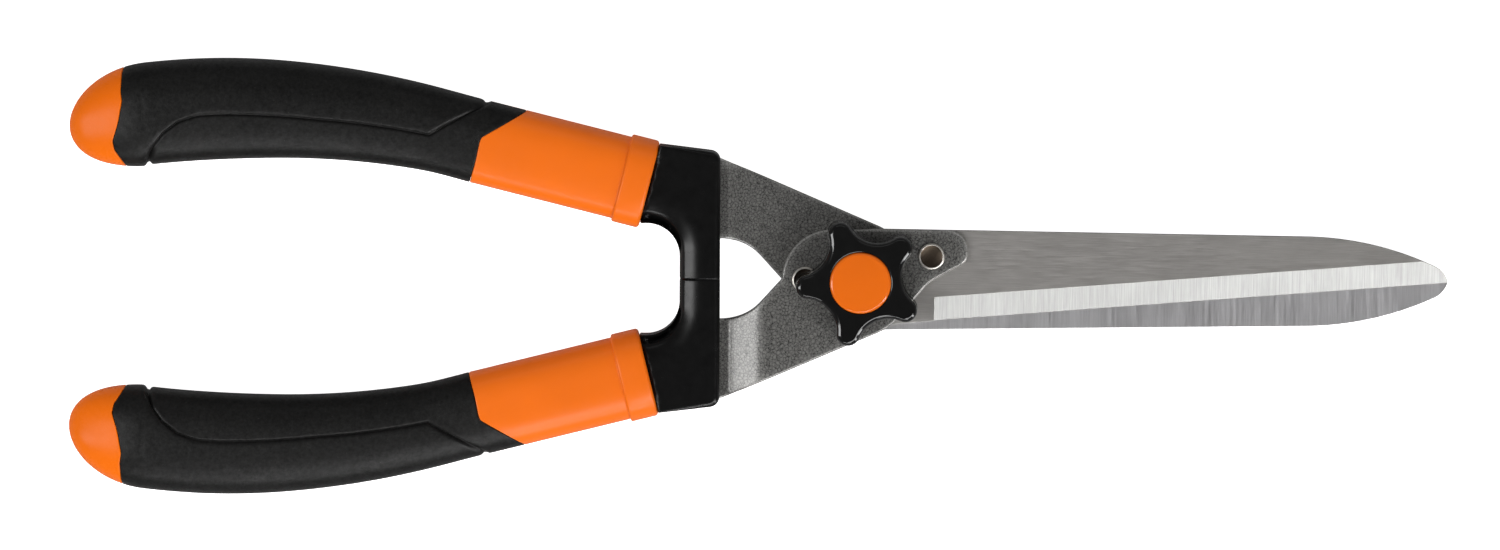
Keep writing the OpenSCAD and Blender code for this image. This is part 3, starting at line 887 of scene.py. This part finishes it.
def bolster_outline(gap, end_s, end_r):
    """The stem, the block's end with the plug that enters the handle's ring, and the block's far corner."""
    plug_l, plug_v, inner_v, outer_v = 6, 12.5, -15, 16
    ends = [(end_s, inner_v), (end_s, -plug_v), (end_s + plug_l, -plug_v), (end_s + plug_l, plug_v),
            (end_s, plug_v), (end_s, outer_v)]
    corners = [(STEM_RIGHT, -gap, end_r), (STEM_LEFT, -gap, end_r), (STEM_LEFT, CROTCH_Y, CROTCH_R)]
    corners += [(*on_axis(s, v), 0.5 if abs(v) > plug_v else 0) for s, v in ends]
    return anticlockwise(rounded(corners + [(STEM_RIGHT, -48.9, 4)], 12))


def bolster():
    """A block rounded broadly on its side towards the handles' gap, and nearly sharp at its two ends.
    Its long edges are rounded as if it went on past both ends."""
    gap, end_s, end_r, edge_r = 0.04, 0.2, 0.4, 2.2
    round_w, round_h, steepest = 9.0, 4.6, 0.97
    past, far_left = 20, -200
    longer = bolster_outline(-past, past, 0.5)
    inner_end = on_axis(past, -15)
    inner_side = rounded([(STEM_LEFT, past, 0), (STEM_LEFT, CROTCH_Y, CROTCH_R), (*inner_end, 0)], 24)
    inner_side = np.array(inner_side + [(far_left, past)])
    towards_ring = np.array((math.cos(HANDLE_ANGLE), math.sin(HANDLE_ANGLE)))

    def depth(points):
        beside = np.clip(1 - edge_distance(points, inner_side) / round_w, 0, 1)
        to_gap = -gap - points[:, 1]
        to_ring = end_s + (points - np.array(HANDLE_START)) @ towards_ring
        edges = np.maximum(round_over(edge_distance(points, longer), edge_r), round_over(to_gap, end_r))
        edges = np.maximum(edges, round_over(to_ring, 2 * end_r))
        return edges + round_h * (1 - np.sqrt(1 - (steepest * beside) ** 2))

    half_t = (top("front_bolster") - base("front_bolster")) / 2
    return moulded(bolster_outline(gap, end_s, 0.8), half_t, depth, rim_rows(edge_r), 1.3)


def rivet(x, y):
    """A countersunk tail in the blade, a shank, and a round-edged head with a shallow dish."""
    tail_r, shank_r, round_r, lip, steps = 4.4, 3, 0.55, 0.1, 10
    head, seat, dish_fall = ARM_TOP + 1.0, ARM_TOP - 0.1, 0.5
    dish = [(RIVET_R - RIVET_RIM - lip) * (1 - k / steps) for k in range(steps + 1)]
    bowl = [(r, head - 0.12 - dish_fall * (1 - (r / dish[0]) ** 2)) for r in dish]
    profile = [(0, BLADE_LOW), (tail_r, BLADE_LOW), (shank_r, BLADE_LOW + tail_r - shank_r)]
    profile += [(shank_r, seat), (RIVET_R, seat)] + quarter(RIVET_R, head - round_r, -round_r, round_r)
    profile += [(RIVET_R - RIVET_RIM + lip, head)] + bowl
    return revolved(profile, x, y, 72)


def dished_faces(solid):
    """The faces of the rivet heads that lie inside the rim."""
    points, faces = np.array(solid[0]), solid[1]
    middles = np.array([points[list(face)].mean(axis=0) for face in faces])
    radius = np.min([np.hypot(middles[:, 0] - x, middles[:, 1] - y) for x, y in RIVETS], axis=0)
    return np.flatnonzero((radius < RIVET_R - RIVET_RIM) & (middles[:, 2] > ARM_TOP)).tolist()


def star(grow=0.0, lobes=5, first=40.8, lobe_r=4.2, waist=15.7, reach=24.5):
    """The knob's outline: lobe ends joined by hollow arcs that meet them smoothly."""
    at, half = reach - lobe_r, math.pi / lobes
    hollow = (at * at - (lobe_r - waist) ** 2) / (2 * (at * math.cos(half) + lobe_r - waist))
    cx, cy = hollow * math.cos(half), hollow * math.sin(half)
    touch = math.degrees(math.atan2(cy, cx - at))
    back = touch + 180
    one = arc(at, 0, lobe_r, -touch, touch, 18)
    one += arc(cx, cy, hollow - waist, back, 360 + 360 / lobes - back, 26)[1:-1]
    points = []
    for k in range(lobes):
        a = math.radians(first + k * 360 / lobes)
        points += [(x * math.cos(a) - y * math.sin(a), x * math.sin(a) + y * math.cos(a)) for x, y in one]
    return inset(anticlockwise(points), -grow)


def knob():
    """The star, hollow for the cap above and the nut below it, and bored for the bolt."""
    recess_r, recess_l, lip, wall, fillet, play = 12.0, 3, 0.58, 0.38, 2.1, 0.05
    foot = [(-0.5, 0), (lip - 0.2, 0), (lip, 0.25), (lip, 0.8), (wall + 0.06, 1.0), (wall, 1.15)]
    rows = [(grow, KNOB_LOW + z) for grow, z in foot]
    low, wall_top = rows[-1][1], KNOB_TOP - fillet
    rows += [(wall, low + (wall_top - low) * k / 4) for k in range(1, 4)]
    rows += quarter(wall, wall_top, -fillet, fillet, 12)
    rings = [[(x, y, z) for x, y in star(grow)] for grow, z in rows]
    angles = [math.atan2(y, x) for x, y, _ in rings[-1]]
    floor, nut_low = KNOB_TOP - recess_l, base("knob_nut")
    nut_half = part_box("knob_nut")[1].y / MM + play
    pocket = [nut_half / math.cos(a % (math.pi / 3) - math.pi / 6) for a in angles]
    inner = [(recess_r + 0.4, KNOB_TOP), (recess_r + 0.1, KNOB_TOP - 0.1), (recess_r, KNOB_TOP - 0.4)]
    inner += [(recess_r, floor), (pocket, floor), (pocket, nut_low), (HOLE_R, nut_low), (HOLE_R, KNOB_LOW)]
    for radius, z in inner:
        radii = radius if radius is pocket else [radius] * len(angles)
        rings.append([(r * math.cos(a), r * math.sin(a), z) for r, a in zip(radii, angles)])
    return tube(rings, loop=True)


def knob_cap():
    """A plug with a rounded edge and a slightly domed face."""
    r, edge, dome, steps = 11.8, 1.2, 0.5, 10
    low, rim = KNOB_TOP - 2.9, CAP_TOP - dome - 0.05
    shares = [1 - k / steps for k in range(1, steps + 1)]
    profile = [(0, low), (r, low)] + quarter(r, rim - edge, -edge, edge, 8)
    profile += [((r - edge) * share, rim + dome * (1 - share**2)) for share in shares]
    return revolved(profile)


def pivot_bolt():
    """A flat head with a bevelled edge, a shank, and a thread of plain grooves."""
    low, high, under = base("pivot_bolt"), top("pivot_bolt"), -ARM_TOP
    r, bevel, round_r, end, groove = 13.0, 1.2, 0.4, 0.8, SHANK_R - 0.5
    profile = [(0, low), (r - bevel, low), (r, low + bevel)]
    profile += [(r, under - round_r), (r - 0.1, under - 0.1), (r - round_r, under), (SHANK_R, under)]
    z = KNOB_LOW + 3
    profile.append((SHANK_R, z))
    while z + PITCH < high - 1:
        profile += [(SHANK_R, z + 0.45 * PITCH), (groove, z + 0.65 * PITCH), (groove, z + 0.8 * PITCH)]
        profile.append((SHANK_R, z + PITCH))
        z += PITCH
    return revolved(profile + [(SHANK_R, high - end), (SHANK_R - end, high), (0, high)])


def spring_washer():
    """A shallow cone with rounded rims."""
    low, high = base("spring_washer"), top("spring_washer")
    hole, r, plate = 4.35, 10.0, 0.9
    profile = [(hole, high - plate), (r - 0.4, low), (r - 0.1, low + 0.1), (r, low + 0.35)]
    profile += [(r - 0.05, low + plate - 0.1), (r - 0.3, low + plate)]
    profile += [(hole + 0.25, high), (hole, high - 0.15)]
    return revolved(profile, loop=True)


def flat_washer():
    """A stamped ring, with its upper edges rounder than its lower ones."""
    low, high = base("flat_washer"), top("flat_washer")
    hole, r = 4.1, 12.0
    profile = [(hole, low), (r - 0.15, low), (r, low + 0.15), (r, high - 0.3), (r - 0.1, high - 0.1)]
    profile += [(r - 0.3, high), (hole + 0.2, high), (hole, high - 0.2)]
    return revolved(profile, loop=True)


# ---- Build the pieces ----

orange = orange_plastic("orange_plastic", 0.80, 0.28, 0.28)
tip_orange = orange_plastic("orange_tip", 0.79, 0.24, 0.12)
cap_orange = orange_plastic("orange_gloss", 0.72, 0.10, 0.5)
rubber = grip_rubber()
bumper = gloss_black("bumper_plastic", 0.23, 0.3)
knob_black = gloss_black("knob_plastic", 0.06, 0.6)
paint = hammered_paint()
zinc = bright_steel("zinc_steel", (0.62, 0.61, 0.58), 0.26)
spring = bright_steel("spring_steel", (0.30, 0.29, 0.28), 0.30)
rivet_steel = bright_steel("rivet_steel", (0.84, 0.80, 0.74), 0.30)
# The rivets' dishes are coloured dark brown, far darker than the heads' rims: painted shade standing in for
# the hollow's dim reflection.
rivet_dish = bright_steel("rivet_dish", (0.085, 0.066, 0.050), 0.34)
outer_steel = blade_steel("blade_outer", (0.53, 0.51, 0.485), (0.67, 0.645, 0.62), (0.12, 4.5, 1.0))
mating_steel = blade_steel("blade_mating", (0.68, 0.67, 0.68), (0.80, 0.79, 0.805), (1.6, 0.06, 1.0))
ground_steel = blade_steel("blade_ground", (0.28, 0.28, 0.275), (0.47, 0.47, 0.46), (3.2, 0.05, 0.05),
                           EDGE_ANGLE, 0.40)

add_blades(outer_steel, mating_steel, ground_steel)
both_halves(arm(), "arm", [paint], 60)
rivets = joined(*[rivet(x, y) for x, y in RIVETS])
both_halves(rivets, "rivets", [rivet_steel, rivet_dish], 50, dished_faces(rivets))
both_halves(bolster(), "bolster", [bumper], 60)
both_halves(core(), "core", [orange])
both_halves(grip(), "grip", [rubber])
both_halves(end_cap(), "end_cap", [tip_orange])
single(pivot_bolt(), "pivot_bolt", "rear_half", zinc, 30)
single(spring_washer(), "spring_washer", "rear_half", spring, 30)
single(flat_washer(), "flat_washer", "thrust_washer", zinc, 30)
single(knob(), "knob", "knob", knob_black, 50)
single(knob_cap(), "knob_cap", "knob", cap_orange, 50)
nut_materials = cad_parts["knob_nut"].data.materials
nut_materials.clear()
nut_materials.append(zinc)


# ---- Floor, light and camera ----


def add_floor():
    """White paper that glows to the camera and lights the shears from below, and reflects as a mid grey.
    It is clear from behind, so that views from under it see the shears."""
    low, _ = cad_box
    half = 6.0
    mesh = bpy.data.meshes.new("floor")
    corners = [(x * half, y * half, low.z) for x, y in ((-1, -1), (1, -1), (1, 1), (-1, 1))]
    mesh.from_pydata(corners, [], [(0, 1, 2, 3)])
    floor = bpy.data.objects.new("floor", mesh)
    bpy.context.scene.collection.objects.link(floor)
    f = Finish("floor_paper")
    path = f.node("ShaderNodeLightPath").outputs
    seen = path["Is Camera Ray"]
    grain = f.ramp(f.noise(0.01), (0.3, 0.93), (0.7, 0.95))
    glow = f.maths("ADD", seen, f.maths("MULTIPLY", path["Is Diffuse Ray"], 0.7))
    f.set(Base_Color=f.mixed(seen, (0.34, 0.34, 0.34), grain))
    f.set(Roughness=0.9, Emission_Color=(1.0, 1.0, 1.0), Emission_Strength=glow)
    clear = f.node("ShaderNodeBsdfTransparent")
    pick = f.node("ShaderNodeMixShader")
    f.wire(f.node("ShaderNodeNewGeometry").outputs["Backfacing"], pick.inputs["Fac"])
    f.wire(f.shader.outputs["BSDF"], pick.inputs[1])
    f.wire(clear.outputs["BSDF"], pick.inputs[2])
    f.wire(pick.outputs["Shader"], f.tree.nodes["Material Output"].inputs["Surface"])
    mesh.materials.append(f.material)


def add_light(name, place_at, aim, size, power):
    """A soft box of (width, height) in metres, turned to face a point."""
    lamp = bpy.data.lights.new(name, "AREA")
    lamp.shape = "RECTANGLE"
    lamp.size, lamp.size_y = size
    lamp.energy = power
    light = bpy.data.objects.new(name, lamp)
    light.location = place_at
    light.rotation_mode = "QUATERNION"
    light.rotation_quaternion = (Vector(aim) - Vector(place_at)).to_track_quat("-Z", "Y")
    bpy.context.scene.collection.objects.link(light)


def add_world():
    """A room that reflects as a dark grey, lights evenly, and looks white to the camera."""
    world = bpy.data.worlds.new("studio")
    bpy.context.scene.world = world
    world.use_nodes = True
    tree = world.node_tree
    where = tree.nodes.new("ShaderNodeTexCoord")
    split = tree.nodes.new("ShaderNodeSeparateXYZ")
    tree.links.new(where.outputs["Generated"], split.inputs[0])
    ramp = tree.nodes.new("ShaderNodeValToRGB")
    tree.links.new(split.outputs["Z"], ramp.inputs["Fac"])
    elements = ramp.color_ramp.elements
    stops = ((0.0, 0.22), (0.45, 0.15), (0.80, 0.13), (0.97, 0.115))
    while len(elements) < len(stops):
        elements.new(0.5)
    for element, (position, grey) in zip(elements, stops):
        element.position = position
        element.color = (grey, grey, grey, 1)
    path = tree.nodes.new("ShaderNodeLightPath").outputs
    colour = ramp.outputs["Color"]
    for ray, grey in (("Is Diffuse Ray", 0.34), ("Is Camera Ray", 1.0)):
        mix = tree.nodes.new("ShaderNodeMix")
        mix.data_type = "RGBA"
        tree.links.new(path[ray], mix.inputs[0])
        tree.links.new(colour, mix.inputs[6])
        mix.inputs[7].default_value = (grey, grey, grey, 1)
        colour = mix.outputs[2]
    tree.links.new(colour, tree.nodes["Background"].inputs["Color"])


def add_camera():
    """Straight above, leaning a little to the rear half's side, with a long lens."""
    view_width, centre = 579.3 * MM, Vector((-42.5, 1.55)) * MM
    roll, lean, lens, sensor = 0.005, math.radians(3.9), 400.0, 36.0
    right = Vector((1, roll, 0)).normalized()
    up_flat = Vector((-roll, 1, 0)).normalized()
    target = Vector((0, 0, MEET)) + right * centre.x + up_flat * centre.y
    distance = view_width / sensor * lens
    back = up_flat * math.sin(lean) + Vector((0, 0, math.cos(lean)))
    data = bpy.data.cameras.new("camera")
    data.lens, data.sensor_width = lens, sensor
    data.clip_start, data.clip_end = 0.05, 50
    camera = bpy.data.objects.new("camera", data)
    axes = (right, back.cross(right), back, target + back * distance)
    camera.matrix_world = Matrix([*([axis[i] for axis in axes] for i in range(3)), (0, 0, 0, 1)])
    bpy.context.scene.collection.objects.link(camera)
    bpy.context.scene.camera = camera


# Name, place, aim, size and power of each lamp, in metres and watts
LAMPS = (
    ("left_box", (-2.0, -0.3, 1.9), (-0.06, 0, 0), (0.6, 2.2), 32),
    ("lower_box", (0.9, -1.5, 2.2), (0, 0, 0), (2.0, 0.6), 33),
    ("upper_fill", (0.10, 1.9, 1.8), (0, 0, 0), (2.4, 0.4), 2),
    ("right_box", (1.7, -1.3, 1.0), (0, 0, 0), (0.4, 1.4), 18),
    ("low_strip", (-0.15, -1.75, 1.1), (-0.15, 0, 0), (1.5, 0.18), 9),
    ("near_left", (-0.75, -0.08, 1.25), (-0.2, 0, 0), (0.6, 0.6), 0.6),
)

add_floor()
for lamp_row in LAMPS:
    add_light(*lamp_row)
add_world()
add_camera()
bpy.context.scene.view_settings.view_transform = "Standard"
